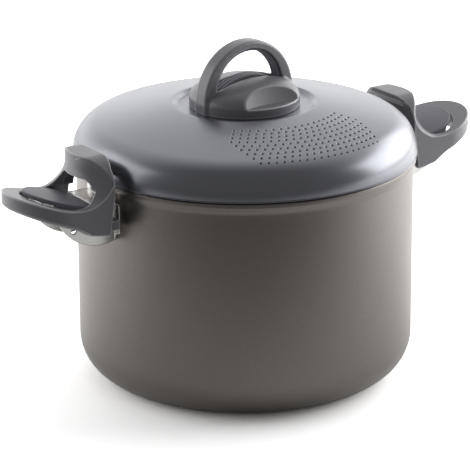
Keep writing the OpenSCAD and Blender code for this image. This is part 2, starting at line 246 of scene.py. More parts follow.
def turned(name, outline, material, steps=128, place=Matrix.Identity(4)):
    """A solid of revolution about Z from an outline of (radius, height), moved into place."""
    closed = outline[0][0] > 0
    points = [place @ Vector((r * math.cos(a), r * math.sin(a), z))
              for r, z in outline for a in (math.tau * j / steps for j in range(steps))]
    rings = len(outline)
    faces = [(i % rings * steps + j, i % rings * steps + (j + 1) % steps,
              (i + 1) % rings * steps + (j + 1) % steps, (i + 1) % rings * steps + j)
             for i in range(rings if closed else rings - 1) for j in range(steps)]
    return solid(name, points, faces, material)


def finish_of(name, colour, metallic, roughness):
    """A material with one principled shader at its plain finish."""
    made = bpy.data.materials.new(name)
    made.use_nodes = True
    shader = made.node_tree.nodes["Principled BSDF"]
    shader.inputs["Base Color"].default_value = hex_colour(colour)
    shader.inputs["Metallic"].default_value = metallic
    shader.inputs["Roughness"].default_value = roughness
    return made, made.node_tree, shader


# Hard anodised aluminium: a dense oxide skin over turned metal. It gives a satin,
# slightly warm grey that is darkest face-on, with a grain of about a millimetre.
anodised, tree, shader = finish_of("hard_anodised_aluminium", "#85807c", 1.0, 0.34)
at = add(tree, "ShaderNodeTexCoord").outputs["Object"]
grain = add(tree, "ShaderNodeTexNoise", {"Vector": at, "Scale": 1 / (1.2 * MM), "Detail": 3.0})
lathe = add(tree, "ShaderNodeMapping", {0: at, 3: (1.0, 1.0, 1 / (0.9 * MM))}).outputs[0]
lathe = add(tree, "ShaderNodeTexNoise", {"Vector": lathe, "Scale": 4.0, "Detail": 2.0})
cloud = add(tree, "ShaderNodeTexNoise", {"Vector": at, "Scale": 1 / (60 * MM), "Detail": 2.0})
dull = add(tree, "ShaderNodeMapRange", {0: cloud.outputs[0], 3: 0.30, 4: 0.38}).outputs[0]
tree.links.new(dull, shader.inputs["Roughness"])
tint = add(tree, "ShaderNodeMix",
           {0: grain.outputs[0], 6: hex_colour("#7e7975"), 7: hex_colour("#8c8783")},
           data_type="RGBA")
tree.links.new(tint.outputs[2], shader.inputs["Base Color"])
bump = add(tree, "ShaderNodeBump",
           {"Strength": 0.05, "Distance": 0.1 * MM, "Height": grain.outputs[0]})
bump = add(tree, "ShaderNodeBump",
           {"Strength": 0.06, "Distance": 0.1 * MM, "Height": lathe.outputs[0],
            "Normal": bump.outputs[0]})
tree.links.new(bump.outputs[0], shader.inputs["Normal"])

# Shallow turned grooves ring the underside
base_rings = []
for ring in range(BASE_RINGS):
    edge = FIRST_RING + ring * RING_PITCH
    base_rings += [(edge, 0, 0.2), (edge + 0.3, RING_DEPTH, 0.1), (edge + 1.2, RING_DEPTH, 0.1),
                   (edge + 1.5, 0, 0.2)]
bore = POT_R - WALL
pot_line = filleted(
    [(0, 0, 0), *base_rings, (POT_R, 0, CORNER_R), (POT_R, RIM - 7, 8), (RIM_R, RIM - 3.4, 3),
     (RIM_R, RIM, 0.9), (bore, RIM, 0.9), (bore, BASE, CORNER_R - WALL), (0, BASE, 0)],
    closed=False)
pot = turned("pot", pot_line, anodised, steps=224)
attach(pot, "pot")
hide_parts("pot_shell")

# ==== Lid ===================================================================
# Pressed aluminium with a broad domed crown, a sunken seat for the knob and a
# rounded shoulder that closes in to a bead over the pot's rim. A fan of small
# punched holes on one side drains the pot. Satin anodised, a cooler grey.

lid_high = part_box("lid_shell")[1] / MM
knob_low, knob_high = (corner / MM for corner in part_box("knob"))
LID_R = lid_high.x - 1.2  # the shoulder lies a little inside the CAD's box
BEAD_R = 123.9
LID_SHEET = 1.6
LID_FOOT = RIM + 0.1
CROWN_R = 405.0
CROWN_TOP = RIM + 41.6
SHOULDER_R = 24.0
SEAT = knob_low.z
SEAT_R = 48.0
SEAT_EDGE_R = 52.0
SKIRT_R = 119.4
SKIRT_DROP = 8.0
SCREW_HOLE_R = 2.7
crown_centre = CROWN_TOP - CROWN_R
shoulder_in = LID_R - SHOULDER_R
shoulder_z = crown_centre + math.sqrt((CROWN_R - SHOULDER_R) ** 2 - shoulder_in ** 2)
meet = math.atan2(shoulder_z - crown_centre, shoulder_in)
seat_meet = math.acos(SEAT_EDGE_R / CROWN_R)


def sweep(x, z, radius, start, end, parts):
    """Points on an arc about (x, z), each a sharp corner for an outline."""
    return [(x + radius * math.cos(a), z + radius * math.sin(a), 0)
            for a in (start + (end - start) * k / parts for k in range(parts + 1))]


outside = (sweep(shoulder_in, shoulder_z, SHOULDER_R, -0.12, meet, 22)
           + sweep(0, crown_centre, CROWN_R, meet + 0.008, seat_meet - 0.004, 26))
under_r = CROWN_R - LID_SHEET
inside = (sweep(0, crown_centre, under_r, seat_meet, meet + 0.008, 16)
          + sweep(shoulder_in, shoulder_z, SHOULDER_R - LID_SHEET, meet, 0, 14))
lid_line = filleted(
    [(BEAD_R, LID_FOOT, 0.9), (BEAD_R, LID_FOOT + 1.9, 0.8), (BEAD_R - 0.9, LID_FOOT + 2.3, 0.3),
     *outside, (SEAT_EDGE_R, RIM + 38.1, 0.8), (SEAT_R + 0.6, SEAT, 1.6), (SCREW_HOLE_R, SEAT, 0),
     (SCREW_HOLE_R, SEAT - LID_SHEET, 0), (SEAT_R, SEAT - LID_SHEET, 1.2), *inside,
     (122.6, LID_FOOT + 2.2, 0.6), (SKIRT_R - LID_SHEET, LID_FOOT + 1.6, 1.0),
     (SKIRT_R - LID_SHEET, LID_FOOT - SKIRT_DROP, 0.5), (SKIRT_R, LID_FOOT - SKIRT_DROP, 0.5),
     (SKIRT_R, LID_FOOT, 0.4)], longest=4.0)

# Satin anodised aluminium, pressed and bead-blasted: cool grey, smoother than the
# pot, so that broad soft reflections of the room lie over the crown.
satin, tree, shader = finish_of("satin_anodised_aluminium", "#8e8f95", 1.0, 0.30)
at = add(tree, "ShaderNodeTexCoord").outputs["Object"]
grain = add(tree, "ShaderNodeTexNoise", {"Vector": at, "Scale": 1 / (1.0 * MM), "Detail": 3.0})
cloud = add(tree, "ShaderNodeTexNoise", {"Vector": at, "Scale": 1 / (45 * MM), "Detail": 2.0})
dull = add(tree, "ShaderNodeMapRange", {0: cloud.outputs[0], 3: 0.26, 4: 0.33}).outputs[0]
tree.links.new(dull, shader.inputs["Roughness"])
tint = add(tree, "ShaderNodeMix",
           {0: grain.outputs[0], 6: hex_colour("#88898f"), 7: hex_colour("#94959b")},
           data_type="RGBA")
tree.links.new(tint.outputs[2], shader.inputs["Base Color"])
bump = add(tree, "ShaderNodeBump",
           {"Strength": 0.05, "Distance": 0.1 * MM, "Height": grain.outputs[0]})
tree.links.new(bump.outputs[0], shader.inputs["Normal"])

lid = turned("lid", [tuple(p) for p in lid_line], satin, steps=224)

# The punch: a straight shank with a flared shoulder that leaves a dimple
HOLE_R = 0.85
DIMPLE_R = 1.4
DIMPLE_DEPTH = 0.6
punch = turned("punch", [(0, -4), (HOLE_R, -4), (HOLE_R, -DIMPLE_DEPTH), (DIMPLE_R, 0.06),
                         (DIMPLE_R + 1.5, 1.6), (0, 1.6)], satin, steps=14)


def nodes_for(name, inputs):
    """A geometry tree with a geometry input and output, and these named inputs."""
    grown = bpy.data.node_groups.new(name, "GeometryNodeTree")
    grown.interface.new_socket("Geometry", in_out="INPUT", socket_type="NodeSocketGeometry")
    grown.interface.new_socket("Geometry", in_out="OUTPUT", socket_type="NodeSocketGeometry")
    for label, kind in inputs.items():
        grown.interface.new_socket(label, in_out="INPUT", socket_type="NodeSocket" + kind)
    return grown, add(grown, "NodeGroupInput").outputs


def grow(piece, grown, sizes):
    """Runs a geometry tree on a piece with these values, and keeps its result as a plain mesh."""
    modifier = piece.modifiers.new(grown.name, "NODES")
    modifier.node_group = grown
    for item in grown.interface.items_tree:
        if item.in_out == "INPUT" and item.name in sizes:
            modifier[item.identifier] = sizes[item.name]
    shown = piece.evaluated_get(bpy.context.evaluated_depsgraph_get())
    mesh = bpy.data.meshes.new_from_object(shown)
    piece.modifiers.remove(modifier)
    piece.data = mesh


# Nine rows of holes on arcs about the lid's middle. The fan narrows after its
# fourth row, and each row has as many holes as its length holds. It faces the
# front, three degrees round from square to the handles.
LAST_FULL_ROW = 3.0
SHARP_EDGE = math.radians(25)

grown, given = nodes_for("drain_holes", {
    "Punch": "Object", "Finish": "Material", "Rows": "Int", "Most In A Row": "Int",
    "First Row": "Float", "Row Pitch": "Float", "Hole Pitch": "Float",
    "Half Angle": "Float", "Middle": "Float", "Taper": "Float",
    "Dome Radius": "Float", "Dome Centre": "Float"})
total = add(grown, "ShaderNodeMath", {0: given["Rows"], 1: given["Most In A Row"]},
            operation="MULTIPLY")
cloud = add(grown, "GeometryNodePoints", {"Count": total.outputs[0]}).outputs[0]
index = add(grown, "GeometryNodeInputIndex").outputs[0]
row = add(grown, "ShaderNodeMath", {0: index, 1: given["Most In A Row"]},
          operation="DIVIDE").outputs[0]
row = add(grown, "ShaderNodeMath", {0: row}, operation="FLOOR").outputs[0]
spot = add(grown, "ShaderNodeMath", {0: index, 1: given["Most In A Row"]},
           operation="MODULO").outputs[0]
radius = add(grown, "ShaderNodeMath", {0: row, 1: given["Row Pitch"], 2: given["First Row"]},
             operation="MULTIPLY_ADD").outputs[0]
past = add(grown, "ShaderNodeMath", {0: row, 1: LAST_FULL_ROW}, operation="SUBTRACT").outputs[0]
past = add(grown, "ShaderNodeMath", {0: past, 1: 0.0}, operation="MAXIMUM").outputs[0]
cut = add(grown, "ShaderNodeMath", {0: past, 1: given["Taper"]}, operation="MULTIPLY").outputs[0]
half = add(grown, "ShaderNodeMath", {0: given["Half Angle"], 1: cut},
           operation="SUBTRACT").outputs[0]
length = add(grown, "ShaderNodeMath", {0: half, 1: radius}, operation="MULTIPLY").outputs[0]
length = add(grown, "ShaderNodeMath", {0: length, 1: 2.0}, operation="MULTIPLY").outputs[0]
count = add(grown, "ShaderNodeMath", {0: length, 1: given["Hole Pitch"]},
            operation="DIVIDE").outputs[0]
count = add(grown, "ShaderNodeMath", {0: count}, operation="ROUND").outputs[0]
share = add(grown, "ShaderNodeMath", {0: spot, 1: count}, operation="DIVIDE").outputs[0]
share = add(grown, "ShaderNodeMath", {0: share, 1: 2.0, 2: -1.0},
            operation="MULTIPLY_ADD").outputs[0]
angle = add(grown, "ShaderNodeMath", {0: share, 1: half, 2: given["Middle"]},
            operation="MULTIPLY_ADD").outputs[0]
cosine = add(grown, "ShaderNodeMath", {0: angle}, operation="COSINE").outputs[0]
sine = add(grown, "ShaderNodeMath", {0: angle}, operation="SINE").outputs[0]
along = add(grown, "ShaderNodeMath", {0: cosine, 1: radius}, operation="MULTIPLY").outputs[0]
across = add(grown, "ShaderNodeMath", {0: sine, 1: radius}, operation="MULTIPLY").outputs[0]
dome2 = add(grown, "ShaderNodeMath", {0: given["Dome Radius"], 1: 2.0},
            operation="POWER").outputs[0]
radius2 = add(grown, "ShaderNodeMath", {0: radius, 1: 2.0}, operation="POWER").outputs[0]
rise = add(grown, "ShaderNodeMath", {0: dome2, 1: radius2}, operation="SUBTRACT").outputs[0]
rise = add(grown, "ShaderNodeMath", {0: rise}, operation="SQRT").outputs[0]
outward = add(grown, "ShaderNodeCombineXYZ", {0: along, 1: across, 2: rise}).outputs[0]
centre = add(grown, "ShaderNodeCombineXYZ", {2: given["Dome Centre"]}).outputs[0]
place = add(grown, "ShaderNodeVectorMath", {0: outward, 1: centre}, operation="ADD").outputs[0]
cloud = add(grown, "GeometryNodeSetPosition", {"Geometry": cloud, "Position": place}).outputs[0]
spare = add(grown, "ShaderNodeMath", {0: count, 1: 0.5}, operation="ADD").outputs[0]
spare = add(grown, "ShaderNodeMath", {0: spot, 1: spare}, operation="GREATER_THAN").outputs[0]
cloud = add(grown, "GeometryNodeDeleteGeometry", {"Geometry": cloud, "Selection": spare},
            domain="POINT").outputs[0]
turn = add(grown, "FunctionNodeAlignRotationToVector", {"Vector": outward}, axis="Z").outputs[0]
tool = add(grown, "GeometryNodeObjectInfo", {"Object": given["Punch"]}).outputs["Geometry"]
tools = add(grown, "GeometryNodeInstanceOnPoints",
            {"Points": cloud, "Instance": tool, "Rotation": turn}).outputs[0]
tools = add(grown, "GeometryNodeRealizeInstances", {0: tools}).outputs[0]
punched = add(grown, "GeometryNodeMeshBoolean", {"Mesh 1": given["Geometry"], "Mesh 2": tools},
              operation="DIFFERENCE", solver="MANIFOLD").outputs[0]
bend = add(grown, "GeometryNodeInputMeshEdgeAngle").outputs["Unsigned Angle"]
sharp = add(grown, "ShaderNodeMath", {0: bend, 1: SHARP_EDGE}, operation="GREATER_THAN").outputs[0]
punched = add(grown, "GeometryNodeSetShadeSmooth",
              {"Geometry": punched, "Shade Smooth": True}).outputs[0]
punched = add(grown, "GeometryNodeSetShadeSmooth",
              {"Geometry": punched, "Selection": sharp, "Shade Smooth": False},
              domain="EDGE").outputs[0]
punched = add(grown, "GeometryNodeSetMaterial",
              {"Geometry": punched, "Material": given["Finish"]}).outputs[0]
add(grown, "NodeGroupOutput", {0: punched})

grow(lid, grown, {
    "Punch": punch, "Finish": satin, "Rows": 9, "Most In A Row": 26,
    "First Row": 68.5 * MM, "Row Pitch": 5.4 * MM, "Hole Pitch": 5.45 * MM,
    "Half Angle": math.radians(37.5), "Middle": math.radians(-93), "Taper": math.radians(2.4),
    "Dome Radius": CROWN_R * MM, "Dome Centre": crown_centre * MM})
bpy.data.objects.remove(punch)
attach(lid, "lid")
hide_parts("lid_shell")

# ==== Knob ==================================================================
# One moulding of dark glass-filled plastic: a round domed base with an upright
# band, and an arch to lift it by. A channel runs under the arch, and a shallow
# thumb scoop is cut into the dome on each side of it.

KNOB_R = 40.0
KNOB_TURN = math.radians(5)  # how far round from the handles' line it is screwed down
ARCH_R = 41.0
ARCH_T = 10.0
ARCH_HALF = 6.5
ARCH_Z = 7.0
WINDOW_LIFT = 4.5
BAND = 6.5
DOME = 15.0
CHANNEL_R = 44.2
CHANNEL_Z = BAND + DOME - 0.5 - CHANNEL_R
CHANNEL_HALF = 7.0
SCOOP_R = 174.6
SCOOP_Y = 184.0
SCOOP_Z = 89.5
INSERT_R = 4.5
INSERT_H = 12.0


def carved(name, shape, low, high, step, material):
    """A closed mesh of the surface where shape(x, y, z) is zero, below zero inside, in mm.
    One point lies in each cell that the surface crosses, and is then drawn onto it."""
    low = np.array(low, float) - 1.5 * step
    counts = np.ceil((np.array(high, float) + 1.5 * step - low) / step).astype(int) + 1
    grid = np.meshgrid(*(low[k] + step * np.arange(counts[k]) for k in range(3)), indexing="ij")
    value = shape(*grid)
    inner = value < 0
    along_x, along_y, along_z = counts - 1
    corners = sum(inner[i:along_x + i, j:along_y + j, k:along_z + k].astype(np.int8)
                  for i in (0, 1) for j in (0, 1) for k in (0, 1))
    mixed = (corners > 0) & (corners < 8)
    cells = np.argwhere(mixed)
    number = np.full(mixed.shape, -1)
    number[mixed] = np.arange(len(cells))
    total = np.zeros((len(cells), 3))
    hits = np.zeros((len(cells), 1))
    for axis in range(3):
        others = [k for k in range(3) if k != axis]
        for shift in ((0, 0), (0, 1), (1, 0), (1, 1)):
            start = cells.copy()
            start[:, others] += shift
            end = start.copy()
            end[:, axis] += 1
            one, two = value[tuple(start.T)], value[tuple(end.T)]
            crosses = (one < 0) != (two < 0)
            point = start.astype(float)
            point[:, axis] += np.where(crosses, one / np.where(crosses, one - two, 1), 0)
            total[crosses] += point[crosses]
            hits[crosses] += 1
    points = low + step * total / hits
    reach = 0.05
    for _ in range(4):
        here = shape(*points.T)
        slope = np.stack([shape(*(points + nudge).T) - shape(*(points - nudge).T)
                          for nudge in reach * np.eye(3)], axis=1) / (2 * reach)
        steep = np.maximum((slope ** 2).sum(1), 0.2)
        move = -slope * (here / steep)[:, None]
        length = np.maximum(np.linalg.norm(move, axis=1), 1e-9)[:, None]
        points += move * np.minimum(1, 0.5 * step / length)
    quads = []
    for axis in range(3):
        one, two = (axis + 1) % 3, (axis + 2) % 3
        first = [slice(None)] * 3
        first[axis] = slice(0, -1)
        second = [slice(None)] * 3
        second[axis] = slice(1, None)
        rising = inner[tuple(first)].astype(np.int8) - inner[tuple(second)].astype(np.int8)
        spots = np.argwhere(rising != 0)
        way = rising[tuple(spots.T)]
        ring = []
        for a, b in ((-1, -1), (0, -1), (0, 0), (-1, 0)):
            cell = spots.copy()
            cell[:, one] += a
            cell[:, two] += b
            ring.append(number[tuple(cell.T)])
        ring = np.stack(ring, axis=1)
        ring[way < 0] = ring[way < 0][:, ::-1]
        quads.append(ring)
    quads = np.concatenate(quads)
    mesh = bpy.data.meshes.new(name)
    mesh.vertices.add(len(points))
    mesh.vertices.foreach_set("co", (points * MM).astype(np.float32).ravel())
    mesh.loops.add(quads.size)
    mesh.loops.foreach_set("vertex_index", quads.astype(np.int32).ravel())
    mesh.polygons.add(len(quads))
    mesh.polygons.foreach_set("loop_start", np.arange(0, quads.size, 4, dtype=np.int32))
    mesh.update(calc_edges=True)
    mesh.validate()
    mesh.shade_smooth()
    mesh.materials.append(material)
    piece = bpy.data.objects.new(name, mesh)
    bpy.context.scene.collection.objects.link(piece)
    return piece


def both(one, two, fillet):
    """What lies in both shapes, with the edge between them rounded to a fillet."""
    corner = np.hypot(np.maximum(one + fillet, 0), np.maximum(two + fillet, 0))
    return np.minimum(np.maximum(one, two), -fillet) + corner


def either(one, two, fillet):
    """What lies in either shape, with the inside corner between them filled to a fillet."""
    return -both(-one, -two, fillet)


def on_knob(x, y, z):
    """The same points as the knob sees them: from its seat, and turned with it."""
    return (x * math.cos(KNOB_TURN) + y * math.sin(KNOB_TURN),
            y * math.cos(KNOB_TURN) - x * math.sin(KNOB_TURN), z - SEAT)


def knob_shape(x, y, z):
    """The dome with its channel and scoops, the arch, and the insert's socket."""
    x, y, z = on_knob(x, y, z)
    out = np.hypot(x, y)
    lift = np.maximum(z - BAND, 0)
    reach = np.hypot(out / KNOB_R, lift / DOME)
    steep = np.hypot(out / KNOB_R ** 2, lift / DOME ** 2)
    dome = reach * (reach - 1) / np.maximum(steep, 1e-4)
    dome = both(dome, -z, 0.8)
    window = np.hypot(x, z - ARCH_Z - WINDOW_LIFT) - ARCH_R + ARCH_T
    channel = np.maximum(CHANNEL_R - np.hypot(x, z - CHANNEL_Z), np.abs(y) - CHANNEL_HALF)
    channel = both(channel, window, 3.0)
    dome = both(dome, -channel, 0.9)
    scoop = np.sqrt(x ** 2 + (np.abs(y) - SCOOP_Y) ** 2 + (z - SCOOP_Z) ** 2) - SCOOP_R
    dome = both(dome, -np.maximum(scoop, BAND + 0.5 - z), 0.7)
    arch = both(both(np.hypot(x, z - ARCH_Z) - ARCH_R, np.abs(y) - ARCH_HALF, 2.4), -window, 1.2)
    arch = both(arch, -z, 0.8)
    body = either(dome, arch, 2.2)
    socket = np.maximum(out - INSERT_R, z - INSERT_H)
    return np.maximum(body, -socket)


# Glass-filled phenolic, moulded: dark grey with a fine, even skin, half matt. Its
# fillets and edges are painted paler, a painted highlight for the light they catch.
plastic, tree, shader = finish_of("moulded_phenolic", "#74747a", 0.0, 0.36)
shader.inputs["Specular IOR Level"].default_value = 0.9
at = add(tree, "ShaderNodeTexCoord").outputs["Object"]
grain = add(tree, "ShaderNodeTexNoise", {"Vector": at, "Scale": 1 / (0.9 * MM), "Detail": 4.0})
cloud = add(tree, "ShaderNodeTexNoise", {"Vector": at, "Scale": 1 / (14 * MM), "Detail": 3.0})
dull = add(tree, "ShaderNodeMapRange", {0: cloud.outputs[0], 3: 0.28, 4: 0.42}).outputs[0]
tree.links.new(dull, shader.inputs["Roughness"])
tint = add(tree, "ShaderNodeMix",
           {0: grain.outputs[0], 6: hex_colour("#66666c"), 7: hex_colour("#828288")},
           data_type="RGBA")
# Painted highlight: convex fillets and edges are painted pale by their pointiness
edge = add(tree, "ShaderNodeNewGeometry").outputs["Pointiness"]
edge = add(tree, "ShaderNodeMapRange", {0: edge, 1: 0.505, 2: 0.53, 3: 0.0, 4: 0.9}).outputs[0]
tint = add(tree, "ShaderNodeMix", {0: edge, 6: tint.outputs[2], 7: hex_colour("#c4c4c8")},
           data_type="RGBA")
tree.links.new(tint.outputs[2], shader.inputs["Base Color"])
bump = add(tree, "ShaderNodeBump",
           {"Strength": 0.25, "Distance": 0.12 * MM, "Height": grain.outputs[0]})
tree.links.new(bump.outputs[0], shader.inputs["Normal"])

knob = carved("arch_knob", knob_shape, (-ARCH_R, -KNOB_R, SEAT), (ARCH_R, KNOB_R, knob_high.z),
              0.55, plastic)
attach(knob, "lid")
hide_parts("knob")

# ==== Knob liner ============================================================
# A softer moulded loop that lines the arch and the channel, so that fingers rest
# on it. It is pressed in, and two grooves run along its middle.

LINER_HALF = 4.5
LINER_T = 2.0
GROOVE_Y, GROOVE_R = 1.7, 0.6
LINER_BOX = ((-32, -8, SEAT + 7), (32, 8, SEAT + 43))


def liner_shape(x, y, z):
    """The outer skin of what would fill the window and the channel, with its grooves."""
    x, y, z = on_knob(x, y, z)
    window = np.hypot(x, z - ARCH_Z - WINDOW_LIFT) - ARCH_R + ARCH_T
    floor_ring = np.hypot(x, z - CHANNEL_Z)
    hollow = both(window + LINER_T, CHANNEL_R + LINER_T - floor_ring, 3.0)
    fill = both(window, CHANNEL_R - floor_ring, 3.0)
    loop = both(fill, -hollow, 0.5)
    loop = both(loop, np.abs(y) - LINER_HALF, 0.6)
    groove = np.hypot(np.abs(y) - GROOVE_Y, hollow) - GROOVE_R
    return both(loop, -groove, 0.15)


# Thermoplastic rubber: a shade lighter than the phenolic and more matt.
rubber, tree, shader = finish_of("soft_moulded_plastic", "#77777f", 0.0, 0.50)
at = add(tree, "ShaderNodeTexCoord").outputs["Object"]
grain = add(tree, "ShaderNodeTexNoise", {"Vector": at, "Scale": 1 / (0.7 * MM), "Detail": 4.0})
tint = add(tree, "ShaderNodeMix",
           {0: grain.outputs[0], 6: hex_colour("#6f6f78"), 7: hex_colour("#808088")},
           data_type="RGBA")
tree.links.new(tint.outputs[2], shader.inputs["Base Color"])
dull = add(tree, "ShaderNodeMapRange", {0: grain.outputs[0], 3: 0.42, 4: 0.56}).outputs[0]
tree.links.new(dull, shader.inputs["Roughness"])
bump = add(tree, "ShaderNodeBump",
           {"Strength": 0.2, "Distance": 0.08 * MM, "Height": grain.outputs[0]})
tree.links.new(bump.outputs[0], shader.inputs["Normal"])

liner = carved("knob_liner_loop", liner_shape, *LINER_BOX, 0.32, rubber)
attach(liner, "lid")
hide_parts("knob_liner")

# ==== Knob fixing ===========================================================
# A brass insert moulded into the knob, and a steel screw with a washer under the
# lid. The insert has a waist, so that it can't pull out of the plastic.

SCREW_R = 2.5
WASHER_R = 10.0
WASHER_T = 1.2
HEAD_H = 3.0

# Free-machining brass, turned.
brass, tree, shader = finish_of("turned_brass", "#b58a3e", 1.0, 0.28)
at = add(tree, "ShaderNodeTexCoord").outputs["Object"]
lathe = add(tree, "ShaderNodeTexNoise", {"Vector": at, "Scale": 1 / (0.4 * MM), "Detail": 2.0})
dull = add(tree, "ShaderNodeMapRange", {0: lathe.outputs[0], 3: 0.22, 4: 0.36}).outputs[0]
tree.links.new(dull, shader.inputs["Roughness"])

# Zinc-plated steel, cold headed: bright, faintly blue, with a fine uneven sheen.
plated, tree, shader = finish_of("plated_steel", "#c4c6c8", 1.0, 0.28)
at = add(tree, "ShaderNodeTexCoord").outputs["Object"]
sheen = add(tree, "ShaderNodeTexNoise", {"Vector": at, "Scale": 1 / (2.0 * MM), "Detail": 3.0})
dull = add(tree, "ShaderNodeMapRange", {0: sheen.outputs[0], 3: 0.20, 4: 0.38}).outputs[0]
tree.links.new(dull, shader.inputs["Roughness"])
bump = add(tree, "ShaderNodeBump",
           {"Strength": 0.1, "Distance": 0.05 * MM, "Height": sheen.outputs[0]})
tree.links.new(bump.outputs[0], shader.inputs["Normal"])

waist = INSERT_R - 0.6
insert = turned("threaded_insert", filleted(
    [(SCREW_R, SEAT, 0.2), (INSERT_R, SEAT, 0.3), (INSERT_R, SEAT + 4.5, 0.2), (waist, SEAT + 5, 0.2),
     (waist, SEAT + 7, 0.2), (INSERT_R, SEAT + 7.5, 0.2), (INSERT_R, SEAT + INSERT_H, 0.4),
     (SCREW_R, SEAT + INSERT_H, 0.2)], longest=1.5), brass, steps=48)
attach(insert, "lid")
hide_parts("knob_insert")

washer_top = SEAT - LID_SHEET
washer_low = washer_top - WASHER_T
washer = turned("washer", filleted(
    [(SCREW_R + 0.2, washer_low, 0.2), (WASHER_R, washer_low, 0.4), (WASHER_R, washer_top, 0.2),
     (SCREW_R + 0.2, washer_top, 0.2)], longest=1.5), plated, steps=64)
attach(washer, "lid")
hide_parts("knob_washer")


THREAD_DEPTH = 0.18
RECESS_HALF, RECESS_DEPTH = 0.5, 1.5


def screw_shape(head_r, shank_r, head_h, length, slot_r, pitch):
    """A pan-head screw standing on its head, with a cross recess and a thread."""
    def shape(x, y, z):
        out = np.hypot(x, y)
        crown = np.maximum(0.4 * head_h - z, 0) ** 2 * 0.5
        head = both(both(out - head_r + crown, z - head_h, 0.2), -z, 0.5)
        turn = np.arctan2(y, x) / math.tau
        ridge = THREAD_DEPTH * np.abs(((z / pitch - turn) % 1) * 2 - 1)
        shank = both(out - shank_r + ridge, z - length, 0.4)
        shank = np.maximum(shank, 0.5 * head_h - z)
        arm = np.minimum(np.abs(x), np.abs(y)) - RECESS_HALF + 0.1 * z
        recess = np.maximum(np.maximum(arm, out - slot_r + z * 0.5), z - RECESS_DEPTH)
        return both(np.minimum(head, shank), -recess, 0.1)
    return shape


HEAD_R = 4.8
screw_low = washer_low - HEAD_H
screw_length = HEAD_H + LID_SHEET + WASHER_T + INSERT_H - 2
centre_screw = screw_shape(HEAD_R, SCREW_R, HEAD_H, screw_length, 2.6, 0.8)
screw = carved("centre_screw", lambda x, y, z: centre_screw(x, y, z - screw_low),
               (-HEAD_R, -HEAD_R, screw_low), (HEAD_R, HEAD_R, SEAT + INSERT_H), 0.2, plated)
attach(screw, "lid")
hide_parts("knob_screw")

# ==== Brackets ==============================================================
# A steel bracket for each handle, pressed from sheet and polished: a back plate
# bent to the pot's wall, two cheeks that carry the pivot, and a tongue that holds
# the pad. All shapes below are for the right side, and the left is its mirror.

SHEET = 1.6
PLATE_HALF, PLATE_Z, PLATE_H = 22.5, -23.0, 11.0
NECK_Z, NECK_H = -22.2, 17.4
CHEEK_Y = 17.0
CHEEK_X, CHEEK_Z, CHEEK_R = 134.0, -2.2, 38.0
WEB_Z = -10.0
TONGUE_HALF = 11.0
TONGUE_END = 177.0
PAD_IN_X = 140.0
PAD_IN_Z = -9.5
PAD_SLOPE = math.radians(16)
PAD_T = 3.6
LUG_X, LUG_Z, LUG_R = 156.5, -26.0, 2.0
PIVOT_X = frame["joints"][2]["pos_m"][0] / MM
PIVOT_Z = frame["joints"][2]["pos_m"][2] / MM - RIM
BUSH_R = 4.0


def pad_under(x):
    """Height of the pad's underside above the rim."""
    return PAD_IN_Z - PAD_T / math.cos(PAD_SLOPE) + math.tan(PAD_SLOPE) * (x - PAD_IN_X)


def bracket_shape(x, y, z):
    """Back plate, cheeks, web and tongue, bored for the pivot and for the small hole."""
    w = z - RIM
    side = np.abs(y)
    wide = both(side - PLATE_HALF, np.abs(w - PLATE_Z) - PLATE_H, 1.5)
    narrow = both(side - CHEEK_Y - SHEET, np.abs(w - NECK_Z) - NECK_H, 3.0)
    front = either(wide, narrow, 2.0)
    plate = both(np.abs(np.hypot(x, y) - POT_R - SHEET / 2) - SHEET / 2, front, 0.3)
    level = pad_under(x)
    roof = np.where(x < PAD_IN_X - 0.5, w - WEB_Z, w - level + 0.4)
    behind_wall = POT_R + 0.4 - x
    cheek = both(np.hypot(x - CHEEK_X, w - CHEEK_Z) - CHEEK_R, roof, 1.0)
    across = np.abs(side - CHEEK_Y - SHEET / 2) - SHEET / 2
    cheek = both(np.maximum(cheek, behind_wall), across, 0.3)
    web = np.maximum(np.abs(w - WEB_Z + SHEET / 2) - SHEET / 2, side - CHEEK_Y - SHEET)
    web = both(np.maximum(web, behind_wall), x - PAD_IN_X + 0.5, 0.6)
    drop = np.maximum(w - WEB_Z, level - SHEET - 0.4 - w)
    drop = np.maximum(np.abs(x - PAD_IN_X + 1.3) - SHEET / 2, drop)
    tongue = np.abs((w - level + SHEET / 2) * math.cos(PAD_SLOPE)) - SHEET / 2
    tongue = np.maximum(tongue, x - TONGUE_END)
    tongue = both(np.maximum(tongue, PAD_IN_X - 2 - x), side - TONGUE_HALF, 0.3)
    tongue = either(tongue, np.maximum(drop, side - TONGUE_HALF), 0.8)
    body = either(either(plate, cheek, 1.2), either(web, tongue, 0.5), 0.8)
    bore = np.hypot(x - PIVOT_X, w - PIVOT_Z) - BUSH_R
    lug = np.hypot(x - LUG_X, w - LUG_Z) - LUG_R
    return both(body, -np.minimum(bore, lug), 0.25)


# Cold-rolled steel, polished and clear plated: bright, with fine brush lines that
# run along the sheet.
polished, tree, shader = finish_of("polished_steel", "#e2e1de", 1.0, 0.2)
at = add(tree, "ShaderNodeTexCoord").outputs["Object"]
lines = add(tree, "ShaderNodeMapping",
            {0: at, 3: (1 / (6 * MM), 1 / (6 * MM), 1 / (0.35 * MM))}).outputs[0]
lines = add(tree, "ShaderNodeTexNoise", {"Vector": lines, "Scale": 1.0, "Detail": 3.0})
dull = add(tree, "ShaderNodeMapRange", {0: lines.outputs[0], 3: 0.13, 4: 0.28}).outputs[0]
tree.links.new(dull, shader.inputs["Roughness"])
bump = add(tree, "ShaderNodeBump",
           {"Strength": 0.08, "Distance": 0.05 * MM, "Height": lines.outputs[0]})
tree.links.new(bump.outputs[0], shader.inputs["Normal"])


